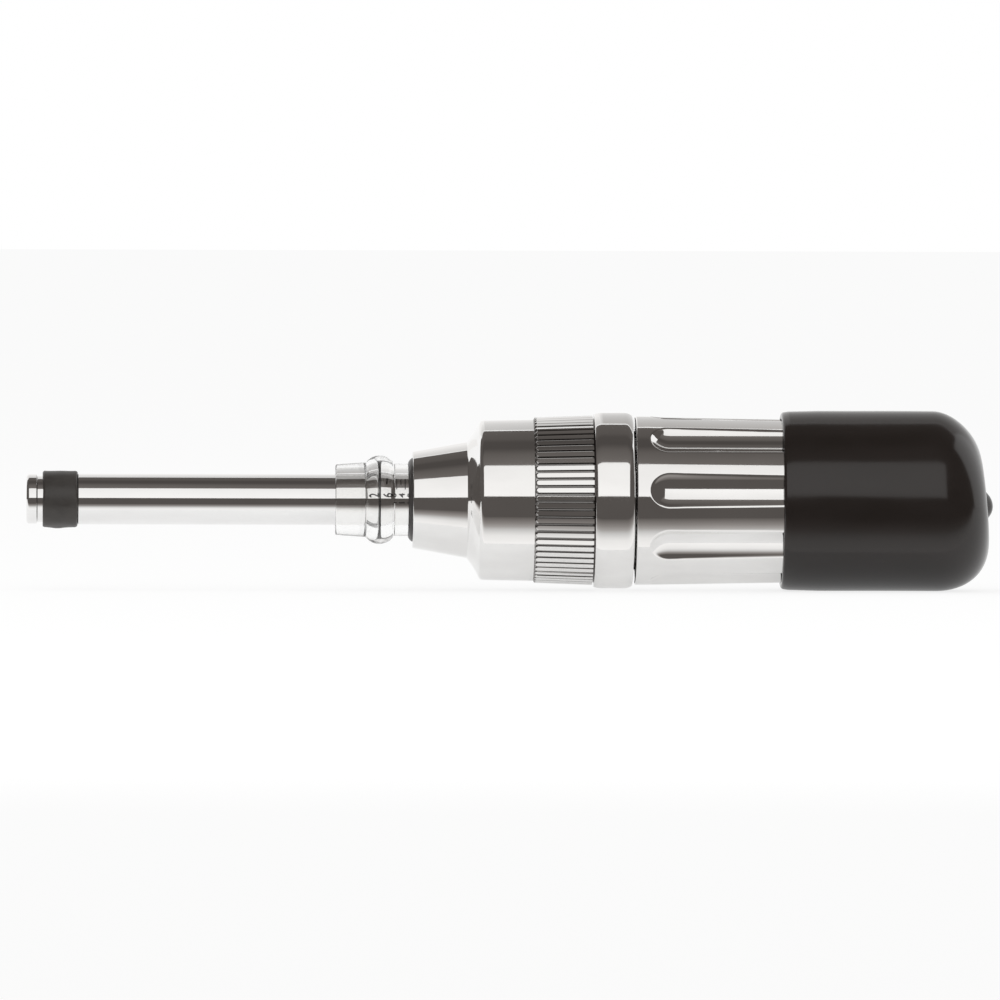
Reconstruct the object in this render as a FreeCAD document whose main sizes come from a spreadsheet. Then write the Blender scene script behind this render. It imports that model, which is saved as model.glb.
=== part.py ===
import FreeCAD, Part
import math
import os

import Sketcher

# Micrometer-set torque screwdriver with a bit socket, in millimetres.
#
# The tool lies along +X. The origin is the centre of the bit socket's mouth, the handle's cap is at
# the far end, and +Z is up. It rests on the lowest lines of the cap and of the sleeve's rear ring.

V = FreeCAD.Vector
ALONG_X = FreeCAD.Rotation(V(0, 1, 0), 90)
NUDGE = 1.0          # how far a cutting outline runs past what it cuts
SAME_PLACE = 1e-3    # two points or radii closer than this are one

SIZES = {
    # shank
    "socket_across": 6.40, "socket_depth": 13.0, "socket_lead": 0.45,
    "lip_radius": 4.65, "lip_length": 1.95, "lip_round": 0.6, "lip_rear_round": 0.2, "neck_radius": 4.375,
    "shank_radius": 4.7625, "shoulder_round": 0.3,
    "tail_radius": 3.9, "tail_flat": 3.3, "tail_end": 131.2,
    "clip_start": 129.5, "clip_width": 1.0, "clip_depth": 0.5,
    # bit ball and its band
    "ball_place": 6.0, "ball_radius": 1.19, "ball_orbit": 3.9, "ball_hole_radius": 1.22,
    "ball_seat_radius": 1.05, "ball_seat_orbit": 3.30,
    "band_start": 3.05, "band_end": 9.65, "band_radius": 5.3, "band_round": 0.45,
    "band_gap": 0.02, "bump_radius": 1.65,
    # scale lens
    "lens_front": 58.0, "lens_front_radius": 6.62, "lens_step": 63.7, "lens_step_radius": 7.02,
    "lens_bore": 4.9, "lens_round": 0.25, "bead_end": 68.9, "bead_root_radius": 7.05,
    "bead_curve": 3.27, "lens_neck_radius": 6.8, "flange_start": 73.25, "flange_end": 74.8,
    "flange_radius": 7.6, "lens_end": 77.6, "lens_tail_radius": 6.7,
    "index_start": 64.1, "index_end": 66.2, "index_radius": 5.5,
    # lens retainer
    "retainer_start": 71.75, "retainer_lip_radius": 7.1, "retainer_rim": 72.47,
    "retainer_rim_radius": 7.85, "retainer_end": 73.2, "retainer_tail_radius": 7.68,
    "retainer_bore": 6.85,
    # adjusting sleeve, outside
    "nose_start": 72.5, "nose_radius": 9.05, "cone_end": 82.75, "cone_radius": 10.93,
    "bevel_start_radius": 11.02, "bevel_end": 85.15, "body_start_radius": 15.02,
    "bevel_curve": 14.0, "bevel_round": 1.1, "body_end": 95.1, "body_end_radius": 15.2,
    "knurl_start": 95.65, "knurl_start_radius": 15.53, "knurl_end": 106.3,
    "knurl_end_radius": 15.93, "undercut_radius": 15.45, "undercut_width": 0.25,
    "knurl_teeth": 68, "knurl_depth": 0.42, "knurl_width": 0.62, "knurl_run_out": 0.25,
    "ring_edge_radius": 16.2, "ring_crown": 108.1, "ring_radius": 16.55,
    "ring_fall": 112.35, "ring_end": 113.8, "ring_end_radius": 16.08,
    "ring_front_curve": 4.6, "ring_rear_curve": 2.5,
    # adjusting sleeve, inside
    "nose_bore": 7.7, "nose_bore_end": 74.9, "bush_bore": 6.85, "chamber_start": 84.0,
    "chamber_radius": 9.0, "chamber_end": 87.6, "relief_radius": 13.5, "land_start": 98.6,
    "land_radius": 12.96, "land_end": 107.0, "mouth_radius": 16.0,
    # parts that turn with the sleeve
    "bush_start": 79.6, "bush_end": 83.8, "bush_radius": 6.83, "bush_inner": 4.82,
    "seal_place": 78.6, "seal_orbit": 5.76, "seal_thickness": 0.88,
    "washer_start": 84.05, "washer_end": 84.85, "washer_radius": 8.8, "washer_bore": 5.3,
    # spring and its seat
    "seat_start": 84.9, "seat_flange_end": 86.1, "seat_radius": 8.8, "seat_pilot_radius": 6.2,
    "seat_pilot_end": 89.1, "seat_bore": 5.1,
    "wire_width": 2.2, "wire_thickness": 1.9, "coil_radius": 7.6, "coil_pitch": 3.2,
    "spring_start": 86.15, "spring_end": 109.55,
    # clutch
    "plate_start": 109.6, "plate_end": 114.6, "plate_radius": 9.5, "plate_bore": 5.0,
    "clutch_ball_radius": 1.98, "pocket_radius": 2.03, "pocket_floor": 111.55,
    "clutch_ball_place": 113.56, "clutch_orbit": 7.0, "clutch_balls": 6,
    "key_radius": 0.8, "key_groove_radius": 0.83, "key_orbit": 9.7, "key_start": 106.1,
    "key_end": 115.1,
    "disc_start": 115.6, "disc_end": 119.6, "disc_radius": 9.3, "disc_hub_radius": 6.0,
    "disc_rim_end": 118.8, "dimple_radius": 2.1, "dimple_place": 114.3, "tail_gap": 0.03,
    # thrust bearing
    "race_thickness": 0.9, "front_race_start": 119.65, "rear_race_start": 123.02,
    "race_radius": 9.2, "front_race_bore": 3.94, "rear_race_bore": 4.2,
    "thrust_ball_radius": 1.19, "thrust_ball_place": 121.785, "thrust_orbit": 6.7,
    "thrust_balls": 8, "cage_start": 121.35, "cage_end": 122.22, "cage_radius": 8.6,
    "cage_bore": 4.8, "cage_hole_radius": 1.23,
    # shank clip
    "clip_inner": 3.45, "clip_outer": 5.8, "clip_gap": 5.2, "clip_play": 0.05,
    # barrel
    "spigot_start": 95.2, "spigot_radius": 12.9, "spigot_chamfer": 0.5,
    "stop_start": 97.0, "stop_end": 98.5, "stop_root_radius": 12.0, "stop_radius": 13.35,
    "barrel_start": 114.22, "barrel_radius": 15.87, "barrel_round": 0.35,
    "taper_end": 142.4, "taper_end_radius": 15.42, "barrel_end": 176.0, "barrel_corner": 5.5,
    "clutch_bore": 9.6, "web_start": 124.0, "web_end": 129.2, "web_bore": 3.95,
    "tail_cavity": 8.0, "plug_start": 169.6, "plug_round": 0.5, "slot_width": 2.0,
    "slot_depth": 1.6,
    "flutes": 9, "flute_start": 116.9, "flute_half_length": 3.64, "flute_tool_radius": 5.13,
    "flute_floor": 14.36, "flute_phase": 1.8,
    # cap
    "cap_start": 141.8, "cap_radius": 16.93, "cap_mouth_round": 0.7, "cap_bore": 15.46,
    "cap_bore_end": 176.3, "cap_bore_corner": 5.3, "cap_end": 180.25, "cap_slant": 5.2,
    "cap_corner": 9.6, "nub_radius": 3.2, "nub_height": 1.45, "nub_drop": 0.7,
}


class Size:
    """A length together with the spreadsheet expression that it comes from."""

    def __init__(self, amount, text):
        self.amount = float(amount)
        self.text = text

    def joined(self, other, sign, amount):
        return Size(amount, f"({self.text} {sign} {other.text})")

    def __add__(self, other):
        other = as_size(other)
        return self.joined(other, "+", self.amount + other.amount)

    def __sub__(self, other):
        other = as_size(other)
        return self.joined(other, "-", self.amount - other.amount)

    def __mul__(self, other):
        other = as_size(other)
        return self.joined(other, "*", self.amount * other.amount)

    def __truediv__(self, other):
        other = as_size(other)
        return self.joined(other, "/", self.amount / other.amount)

    def __neg__(self):
        return Size(-self.amount, f"(0 - {self.text})")


def as_size(number):
    """A Size as it is, and a plain number as a Size of that number."""
    return number if isinstance(number, Size) else Size(number, repr(number))


def size(alias):
    """The named cell of the sheet."""
    return Size(SIZES[alias], f"Sizes.{alias}")


def leg(hypotenuse, other):
    """The remaining side of a right triangle."""
    amount = math.sqrt(hypotenuse.amount ** 2 - other.amount ** 2)
    return Size(amount, f"sqrt({hypotenuse.text} ^ 2 - {other.text} ^ 2)")


def tangent(degrees):
    """The tangent of an angle given in degrees."""
    return Size(math.tan(math.radians(degrees.amount)), f"tan({degrees.text} * 1 deg)")


def make_sheet(doc):
    """The spreadsheet of driving dimensions: names in column A, numbers with aliases in column B."""
    sheet = doc.addObject("Spreadsheet::Sheet", "Sizes")
    for row, (alias, number) in enumerate(SIZES.items(), start=1):
        sheet.set(f"A{row}", alias)
        sheet.set(f"B{row}", str(number))
        sheet.setAlias(f"B{row}", alias)
    doc.recompute()
    return sheet


def bind(thing, **sizes):
    """Sets properties of a feature and binds each of them to its expression."""
    for name, amount in sizes.items():
        amount = as_size(amount)
        setattr(thing, name, amount.amount)
        thing.setExpression(name, amount.text)


def bind_place(thing, x=0, y=0, z=0, rotation=None):
    """Places a feature and binds the three coordinates of its position."""
    spot = [as_size(x), as_size(y), as_size(z)]
    base = V(*[s.amount for s in spot])
    thing.Placement = FreeCAD.Placement(base, rotation or FreeCAD.Rotation())
    for axis, amount in zip("xyz", spot):
        thing.setExpression(f"Placement.Base.{axis}", amount.text)


# ---------------------------------------------------------------- sketches and bodies


def new_body(doc, name):
    body = doc.addObject("PartDesign::Body", name)
    body.Label = name
    return body


def sketch_on(body, role, name, offset=None):
    """A sketch on one of the body's own origin planes, moved by an optional placement in that plane."""
    sketch = body.newObject("Sketcher::SketchObject", f"{body.Label}_{name}")
    plane = next(f for f in body.Origin.OriginFeatures if f.Role == role)
    sketch.AttachmentSupport = [(plane, "")]
    sketch.MapMode = "FlatFace"
    if offset is not None:
        sketch.AttachmentOffset = offset
    return sketch


def arc_middle(start, end, radius):
    """A point in the middle of an arc from start to end. A positive radius bulges away from the axis."""
    chord = end - start
    half = chord.Length / 2
    rise = abs(radius) - math.sqrt(radius * radius - half * half)
    out = V(-chord.y, chord.x, 0).normalize()
    if out.y < 0:
        out = -out
    return (start + end) * 0.5 + out * math.copysign(rise, radius)


def fix(sketch, constraint, text=None):
    """Adds a constraint and binds its value to an expression."""
    index = sketch.addConstraint(constraint)
    if text is not None:
        sketch.setExpression(f"Constraints[{index}]", text)


def fix_point(sketch, edge, corner, x, y):
    """Ties an edge's first or second point to its two coordinates."""
    for kind, amount, axis in (("DistanceX", x, -2), ("DistanceY", y, -1)):
        if amount.amount == 0:
            fix(sketch, Sketcher.Constraint("PointOnObject", edge, corner, axis))
        else:
            fix(sketch, Sketcher.Constraint(kind, -1, 1, edge, corner, amount.amount), amount.text)


def draw(sketch, outline):
    """Draws a closed outline of (x, y) points. A third value is the radius of the arc to that point."""
    points = [[as_size(number) for number in point] for point in outline]
    places = [V(p[0].amount, p[1].amount, 0) for p in points]
    count = len(points)
    for number in range(count):
        following = (number + 1) % count
        start, end, radius = places[number], places[following], points[following][2:]
        if radius:
            middle = arc_middle(start, end, radius[0].amount)
            sketch.addGeometry(Part.Arc(start, middle, end))
        else:
            sketch.addGeometry(Part.LineSegment(start, end))
    ends = []
    for number in range(count):
        first = sketch.getPoint(number, 1)
        ends.append((1, 2) if (first - places[number]).Length < SAME_PLACE else (2, 1))
    for number in range(count):
        following = (number + 1) % count
        fix(sketch, Sketcher.Constraint("Coincident", number, ends[number][1],
                                        following, ends[following][0]))
        fix_point(sketch, number, ends[number][0], *points[number][:2])
        for radius in points[following][2:]:
            fix(sketch, Sketcher.Constraint("Radius", number, abs(radius.amount)),
                (radius if radius.amount > 0 else -radius).text)
    return sketch


def turned(doc, name, outline):
    """A body turned about the tool's axis from an outline of (x, radius) points."""
    body = new_body(doc, name)
    profile = draw(sketch_on(body, "XZ_Plane", "profile"), outline)
    turn = body.newObject("PartDesign::Revolution", f"{name}_turn")
    turn.Profile = profile
    turn.ReferenceAxis = (profile, ["H_Axis"])
    turn.Angle = 360
    doc.recompute()
    return body


def ring(doc, name, start, end, outer, inner):
    """A plain ring: a washer, race or bush."""
    start, end = size(start), size(end) if isinstance(end, str) else end
    outer, inner = size(outer), size(inner)
    return turned(doc, name, [(start, inner), (start, outer), (end, outer), (end, inner)])


def circles_at(shape, x, radius):
    """Names of the circular edges round the axis at a place and radius."""
    names = []
    for number, edge in enumerate(shape.Edges, start=1):
        curve = edge.Curve
        if not isinstance(curve, Part.Circle):
            continue
        if (abs(curve.Center.x - x.amount) < SAME_PLACE
                and abs(curve.Radius - radius.amount) < SAME_PLACE):
            names.append(f"Edge{number}")
    return names


def dress(body, kind, amount, names):
    """Fillets or chamfers the named edges of a body."""
    base = body.Tip
    made = body.newObject(f"PartDesign::{kind}", f"{body.Label}_{kind.lower()}_{len(body.Group)}")
    made.Base = (base, names)
    bind(made, **{"Radius" if kind == "Fillet" else "Size": amount})
    body.Document.recompute()
    if "Invalid" in made.State:
        raise ValueError(f"{body.Label}: the {kind.lower()} of {amount.amount} failed")
    return made


def round_edges(body, kind, amount, *places):
    """Fillets or chamfers the circular edges at the given (x, radius) places."""
    names = [n for x, radius in places for n in circles_at(body.Shape, x, radius)]
    if len(names) < len(places):
        raise ValueError(f"{body.Label}: {len(names)} edges found for {len(places)} places")
    return dress(body, kind, amount, names)


def take_out(body, kind, name, x=0, y=0, z=0, rotation=None, **sizes):
    """Cuts a primitive, such as a Cylinder or Sphere, out of a body."""
    volume = body.Shape.Volume
    tool = body.newObject(f"PartDesign::Subtractive{kind}", f"{body.Label}_{name}")
    bind(tool, **sizes)
    bind_place(tool, x, y, z, rotation)
    body.Document.recompute()
    if not body.Shape.Volume < volume:
        raise ValueError(f"{body.Label}: {name} cuts nothing")
    return tool


def put_on(body, kind, name, x=0, y=0, z=0, **sizes):
    """Adds a primitive to a body."""
    tool = body.newObject(f"PartDesign::Additive{kind}", f"{body.Label}_{name}")
    bind(tool, **sizes)
    bind_place(tool, x, y, z)
    body.Document.recompute()
    return tool


def pocket(body, sketch, depth, name):
    """Cuts a sketch's outline to a depth on the far side of its plane, along +X for a cross-section."""
    volume = body.Shape.Volume
    cut = body.newObject("PartDesign::Pocket", f"{body.Label}_{name}")
    cut.Profile = sketch
    cut.Reversed = True
    bind(cut, Length=depth)
    body.Document.recompute()
    if not body.Shape.Volume < volume:
        raise ValueError(f"{body.Label}: {name} cuts nothing")
    return cut


def repeat_round(body, features, count):
    """Repeats features round the tool's axis."""
    axis = next(f for f in body.Origin.OriginFeatures if f.Role == "X_Axis")
    pattern = body.newObject("PartDesign::PolarPattern", f"{body.Label}_round_{len(body.Group)}")
    pattern.Originals = features
    pattern.Axis = (axis, [""])
    pattern.Angle = 360
    pattern.Occurrences = int(count.amount)
    pattern.setExpression("Occurrences", count.text)
    body.Tip = pattern
    body.Document.recompute()
    return pattern


def cross_section(body, name, x, outline):
    """A sketch across the tool's axis at a place x, of (y, z) points."""
    x = as_size(x)
    offset = FreeCAD.Placement(V(0, 0, x.amount), FreeCAD.Rotation())
    sketch = draw(sketch_on(body, "YZ_Plane", name, offset), outline)
    sketch.setExpression("AttachmentOffset.Base.z", x.text)
    return sketch


# ---------------------------------------------------------------- shank and bit ball


def make_shank(doc):
    """Spindle with the bit socket in front, and flats and a clip groove at its tail."""
    s = size
    clip_end = s("clip_start") + s("clip_width")
    clip_root = s("tail_radius") - s("clip_depth")
    body = turned(doc, "shank", [
        (0, 0), (0, s("lip_radius")), (s("lip_length"), s("lip_radius")),
        (s("lip_length"), s("neck_radius")), (s("band_end"), s("neck_radius")),
        (s("band_end"), s("shank_radius")), (s("disc_start"), s("shank_radius")),
        (s("disc_start"), s("tail_radius")), (s("clip_start"), s("tail_radius")),
        (s("clip_start"), clip_root), (clip_end, clip_root), (clip_end, s("tail_radius")),
        (s("tail_end"), s("tail_radius")), (s("tail_end"), 0)])
    round_edges(body, "Fillet", s("lip_round"), (as_size(0), s("lip_radius")))
    round_edges(body, "Fillet", s("lip_rear_round"), (s("lip_length"), s("lip_radius")))
    round_edges(body, "Fillet", s("shoulder_round"), (s("band_end"), s("shank_radius")))
    round_edges(body, "Chamfer", s("lip_round"), (s("tail_end"), s("tail_radius")))

    half = s("socket_across") / 2
    corner = half * round(2 / math.sqrt(3), 6)
    socket = cross_section(body, "hexagon", 0, [
        (corner, 0), (corner / 2, half), (-(corner / 2), half),
        (-corner, 0), (-(corner / 2), -half), (corner / 2, -half)])
    pocket(body, socket, s("socket_depth"), "socket")
    take_out(body, "Cone", "lead", rotation=ALONG_X, Radius1=half + s("socket_lead"),
             Radius2=half, Height=s("socket_lead"))

    take_out(body, "Cylinder", "ball_seat", x=s("ball_place"), z=-s("neck_radius") - NUDGE,
             Radius=s("ball_seat_radius"), Height=s("neck_radius") + NUDGE)
    take_out(body, "Cylinder", "ball_hole", x=s("ball_place"), z=-s("neck_radius") - NUDGE,
             Radius=s("ball_hole_radius"), Height=s("neck_radius") + NUDGE - s("ball_seat_orbit"))

    for name, side in (("upper_flat", 1), ("lower_flat", -1)):
        low, high = s("tail_flat") * side, (s("tail_radius") + NUDGE) * side
        reach = s("tail_radius") + NUDGE
        outline = [(-reach, low), (reach, low), (reach, high), (-reach, high)]
        flat = cross_section(body, name, s("disc_start"), outline)
        pocket(body, flat, s("disc_end") - s("disc_start"), f"{name}_cut")
    return body


def make_retaining_ball(doc):
    ball = doc.addObject("Part::Sphere", "retaining_ball")
    ball.Label = "retaining_ball"
    bind(ball, Radius=size("ball_radius"))
    bind_place(ball, size("ball_place"), 0, -size("ball_orbit"))
    return ball


def make_ball_band(doc):
    """Rubber band in the shank's groove, with the swelling that the ball makes in it."""
    s = size
    start, end = s("band_start"), s("band_end") - s("band_gap") * 2
    body = turned(doc, "ball_band", [
        (start, 0), (start, s("band_radius")), (end, s("band_radius")), (end, 0)])
    round_edges(body, "Fillet", s("band_round"), (start, s("band_radius")),
                (end, s("band_radius")))
    put_on(body, "Sphere", "swelling", x=s("ball_place"), z=-s("ball_orbit"),
           Radius=s("bump_radius"))
    take_out(body, "Cylinder", "bore", x=0, rotation=ALONG_X,
             Radius=s("neck_radius") + s("band_gap"), Height=s("band_end") + NUDGE)
    take_out(body, "Sphere", "ball_pocket", x=s("ball_place"), z=-s("ball_orbit"),
             Radius=s("ball_hole_radius"))
    return body


# ---------------------------------------------------------------- scale lens and nose


def make_scale_lens(doc):
    """Clear sleeve: taper, magnifying bead over the index groove, neck, and a flange inside the nose."""
    s = size
    body = turned(doc, "scale_lens", [
        (s("lens_front"), s("lens_bore")), (s("lens_front"), s("lens_front_radius")),
        (s("lens_step"), s("lens_step_radius")), (s("bead_end"), s("bead_root_radius"),
                                                  s("bead_curve")),
        (s("bead_end"), s("lens_neck_radius")), (s("flange_start"), s("lens_neck_radius")),
        (s("flange_start"), s("flange_radius")), (s("flange_end"), s("flange_radius")),
        (s("flange_end"), s("lens_tail_radius")), (s("lens_end"), s("lens_tail_radius")),
        (s("lens_end"), s("lens_bore")), (s("index_end"), s("lens_bore")),
        (s("index_end"), s("index_radius")), (s("index_start"), s("index_radius")),
        (s("index_start"), s("lens_bore"))])
    round_edges(body, "Fillet", s("lens_round"), (s("lens_front"), s("lens_front_radius")))
    return body


def make_lens_retainer(doc):
    """Dark ring pressed into the nose in front of the lens's flange."""
    s = size
    return turned(doc, "lens_retainer", [
        (s("retainer_start"), s("retainer_bore")),
        (s("retainer_start"), s("retainer_lip_radius")),
        (s("retainer_rim"), s("retainer_rim_radius")),
        (s("retainer_rim"), s("retainer_tail_radius")),
        (s("retainer_end"), s("retainer_tail_radius")),
        (s("retainer_end"), s("retainer_bore"))])


def make_shank_seal(doc):
    """Rubber ring that runs on the shank behind the lens."""
    seal = doc.addObject("Part::Torus", "shank_seal")
    seal.Label = "shank_seal"
    bind(seal, Radius1=size("seal_orbit"), Radius2=size("seal_thickness"))
    bind_place(seal, size("seal_place"), rotation=ALONG_X)
    return seal


# ---------------------------------------------------------------- adjusting sleeve


def make_adjusting_sleeve(doc):
    """One turned piece: nose cone, shoulder, body, straight knurl and rear ring, hollow like a thimble."""
    s = size
    ring_start = s("knurl_end") + s("undercut_width")
    body = turned(doc, "adjusting_sleeve", [
        (s("nose_start"), s("nose_bore")), (s("nose_start"), s("nose_radius")),
        (s("cone_end"), s("cone_radius")), (s("cone_end"), s("bevel_start_radius")),
        (s("bevel_end"), s("body_start_radius"), -s("bevel_curve")),
        (s("body_end"), s("body_end_radius")),
        (s("knurl_start"), s("knurl_start_radius")), (s("knurl_end"), s("knurl_end_radius")),
        (s("knurl_end"), s("undercut_radius")), (ring_start, s("undercut_radius")),
        (ring_start, s("ring_edge_radius")),
        (s("ring_crown"), s("ring_radius"), s("ring_front_curve")),
        (s("ring_fall"), s("ring_radius")),
        (s("ring_end"), s("ring_end_radius"), s("ring_rear_curve")),
        (s("ring_end"), s("mouth_radius")), (s("land_end"), s("mouth_radius")),
        (s("land_end"), s("land_radius")), (s("land_start"), s("land_radius")),
        (s("land_start"), s("relief_radius")), (s("chamber_end"), s("relief_radius")),
        (s("chamber_end"), s("chamber_radius")), (s("chamber_start"), s("chamber_radius")),
        (s("chamber_start"), s("bush_bore")), (s("nose_bore_end"), s("bush_bore")),
        (s("nose_bore_end"), s("nose_bore"))])
    round_edges(body, "Fillet", s("bevel_round"), (s("bevel_end"), s("body_start_radius")))
    cut_knurl(body)
    return body


def cut_knurl(body):
    """Straight V grooves round the sleeve, as deep at the rear as in front, where they run out on the body."""
    s = size
    front = groove_section(body, "groove_front", s("body_end") - s("knurl_run_out"),
                           s("knurl_start_radius") - s("knurl_depth"))
    rear = groove_section(body, "groove_rear", s("knurl_end") + s("undercut_width") / 2,
                          s("knurl_end_radius") - s("knurl_depth"))
    volume = body.Shape.Volume
    cut = body.newObject("PartDesign::SubtractiveLoft", "knurl_groove")
    cut.Profile = front
    cut.Sections = [rear]
    cut.Ruled = True
    body.Document.recompute()
    if not body.Shape.Volume < volume:
        raise ValueError("the knurl's groove cuts nothing")
    repeat_round(body, [cut], s("knurl_teeth"))


def groove_section(body, name, x, floor):
    """The V of one groove at a place along the sleeve."""
    s = size
    high = s("knurl_depth") + NUDGE
    half = high * s("knurl_width") / (s("knurl_depth") * 2)
    return cross_section(body, name, x, [(0, floor), (half, floor + high), (-half, floor + high)])


# ---------------------------------------------------------------- spring and clutch


def make_spring_seat(doc):
    """Flanged seat: its pilot centres the spring."""
    s = size
    return turned(doc, "spring_seat", [
        (s("seat_start"), s("seat_bore")), (s("seat_start"), s("seat_radius")),
        (s("seat_flange_end"), s("seat_radius")),
        (s("seat_flange_end"), s("seat_pilot_radius")),
        (s("seat_pilot_end"), s("seat_pilot_radius")), (s("seat_pilot_end"), s("seat_bore"))])


def make_main_spring(doc):
    """Compression spring of rectangular wire, wound between the seat's flange and the pressure plate."""
    s = size
    body = new_body(doc, "main_spring")
    start, wire_end = s("spring_start"), s("spring_start") + s("wire_thickness")
    inner = s("coil_radius") - s("wire_width") / 2
    outer = s("coil_radius") + s("wire_width") / 2
    wire = draw(sketch_on(body, "XZ_Plane", "wire"),
                [(start, inner), (start, outer), (wire_end, outer), (wire_end, inner)])
    coil = body.newObject("PartDesign::AdditiveHelix", "spring_coil")
    coil.Profile = wire
    coil.ReferenceAxis = (wire, ["H_Axis"])
    coil.Mode = "pitch-height-angle"
    bind(coil, Pitch=s("coil_pitch"), Height=s("spring_end") - wire_end)
    doc.recompute()
    return body


def make_pressure_plate(doc):
    """Plate that carries the clutch balls in deep pockets and slides on two keys."""
    s = size
    body = ring(doc, "pressure_plate", "plate_start", "plate_end", "plate_radius", "plate_bore")
    hole = take_out(body, "Cylinder", "pocket", x=s("pocket_floor"), z=s("clutch_orbit"),
                    rotation=ALONG_X, Radius=s("pocket_radius"),
                    Height=s("plate_end") - s("pocket_floor") + NUDGE)
    repeat_round(body, [hole], s("clutch_balls"))
    cut_key_grooves(body)
    return body


def cut_key_grooves(body):
    """Half-round grooves for the two keys, on the two sides of the tool."""
    s = size
    for name, side in (("near", -1), ("far", 1)):
        take_out(body, "Cylinder", f"{name}_key_groove", x=s("key_start"),
                 y=s("key_orbit") * side, rotation=ALONG_X, Radius=s("key_groove_radius"),
                 Height=s("key_end") - s("key_start"))


def make_group(doc, name, members):
    """Several like pieces that share one node."""
    group = doc.addObject("Part::Compound", name)
    group.Label = name
    group.Links = members
    return group


def make_plate_keys(doc):
    pins = []
    for number, side in enumerate((-1, 1), start=1):
        pin = doc.addObject("Part::Cylinder", f"plate_key_{number}")
        bind(pin, Radius=size("key_radius"), Height=size("key_end") - size("key_start"))
        bind_place(pin, size("key_start"), size("key_orbit") * side, rotation=ALONG_X)
        pins.append(pin)
    return make_group(doc, "plate_key_pins", pins)


def make_balls(doc, name, count, radius, place, orbit):
    """A ring of balls, the first of them at the top."""
    balls = []
    total = int(size(count).amount)
    for number in range(total):
        ball = doc.addObject("Part::Sphere", f"{name}_{number + 1}")
        turn = 2 * math.pi * number / total
        across, up = round(math.sin(turn), 9), round(math.cos(turn), 9)
        bind(ball, Radius=size(radius))
        bind_place(ball, size(place), size(orbit) * across, size(orbit) * up)
        balls.append(ball)
    return make_group(doc, name, balls)


def make_driven_disc(doc):
    """Disc on the shank's flats, with a dimple for each clutch ball and a thinner rim behind."""
    s = size
    bore = s("tail_radius") + s("tail_gap")
    body = turned(doc, "driven_disc", [
        (s("disc_start"), 0), (s("disc_start"), s("disc_radius")),
        (s("disc_rim_end"), s("disc_radius")), (s("disc_rim_end"), s("disc_hub_radius")),
        (s("disc_end"), s("disc_hub_radius")), (s("disc_end"), 0)])
    flat = s("tail_flat") + s("tail_gap")
    side = leg(bore, flat)
    hole = cross_section(body, "bore", s("disc_start"), [
        (-side, -flat, -bore), (side, -flat), (side, flat, -bore), (-side, flat)])
    pocket(body, hole, s("disc_end") - s("disc_start"), "bore_cut")
    dimple = take_out(body, "Sphere", "dimple", x=s("dimple_place"), z=s("clutch_orbit"),
                      Radius=s("dimple_radius"))
    repeat_round(body, [dimple], s("clutch_balls"))
    return body


# ---------------------------------------------------------------- thrust bearing and clip


def make_cage(doc):
    """Flat cage that spaces the thrust balls."""
    s = size
    body = ring(doc, "thrust_cage", "cage_start", "cage_end", "cage_radius", "cage_bore")
    hole = take_out(body, "Cylinder", "hole", x=s("cage_start") - NUDGE, z=s("thrust_orbit"),
                    rotation=ALONG_X, Radius=s("cage_hole_radius"),
                    Height=s("cage_end") - s("cage_start") + NUDGE * 2)
    repeat_round(body, [hole], s("thrust_balls"))
    return body


def make_clip(doc):
    """Open ring in the groove at the shank's tail, behind the barrel's web."""
    s = size
    start = s("clip_start") + s("clip_play")
    end = s("clip_start") + s("clip_width") - s("clip_play")
    body = turned(doc, "shank_clip", [
        (start, s("clip_inner")), (start, s("clip_outer")), (end, s("clip_outer")),
        (end, s("clip_inner"))])
    half = s("clip_gap") / 2
    reach = s("clip_outer") + NUDGE
    gap = cross_section(body, "gap", start, [(-half, 0), (half, 0), (half, reach),
                                             (-half, reach)])
    pocket(body, gap, s("clip_width"), "gap_cut")
    return body


# ---------------------------------------------------------------- barrel


def make_handle_barrel(doc):
    """Fluted barrel: a spigot inside the sleeve, the clutch chamber, the thrust web and a rear cavity."""
    s = size
    body = turned(doc, "handle_barrel", [
        (s("spigot_start"), s("clutch_bore")), (s("spigot_start"), s("spigot_radius")),
        (s("stop_start"), s("spigot_radius")), (s("stop_start"), s("stop_root_radius")),
        (s("stop_end"), s("stop_root_radius")), (s("stop_end"), s("spigot_radius")),
        (s("barrel_start"), s("spigot_radius")), (s("barrel_start"), s("barrel_radius")),
        (s("flute_start"), s("barrel_radius")), (s("taper_end"), s("taper_end_radius")),
        (s("barrel_end"), s("taper_end_radius")), (s("barrel_end"), s("tail_cavity")),
        (s("web_end"), s("tail_cavity")), (s("web_end"), s("web_bore")),
        (s("web_start"), s("web_bore")), (s("web_start"), s("clutch_bore"))])
    round_edges(body, "Chamfer", s("spigot_chamfer"), (s("spigot_start"), s("spigot_radius")))
    round_edges(body, "Fillet", s("barrel_round"), (s("barrel_start"), s("barrel_radius")))
    round_edges(body, "Fillet", s("barrel_corner"), (s("barrel_end"), s("taper_end_radius")))
    cut_flutes(body)
    cut_key_grooves(body)
    return body


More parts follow.
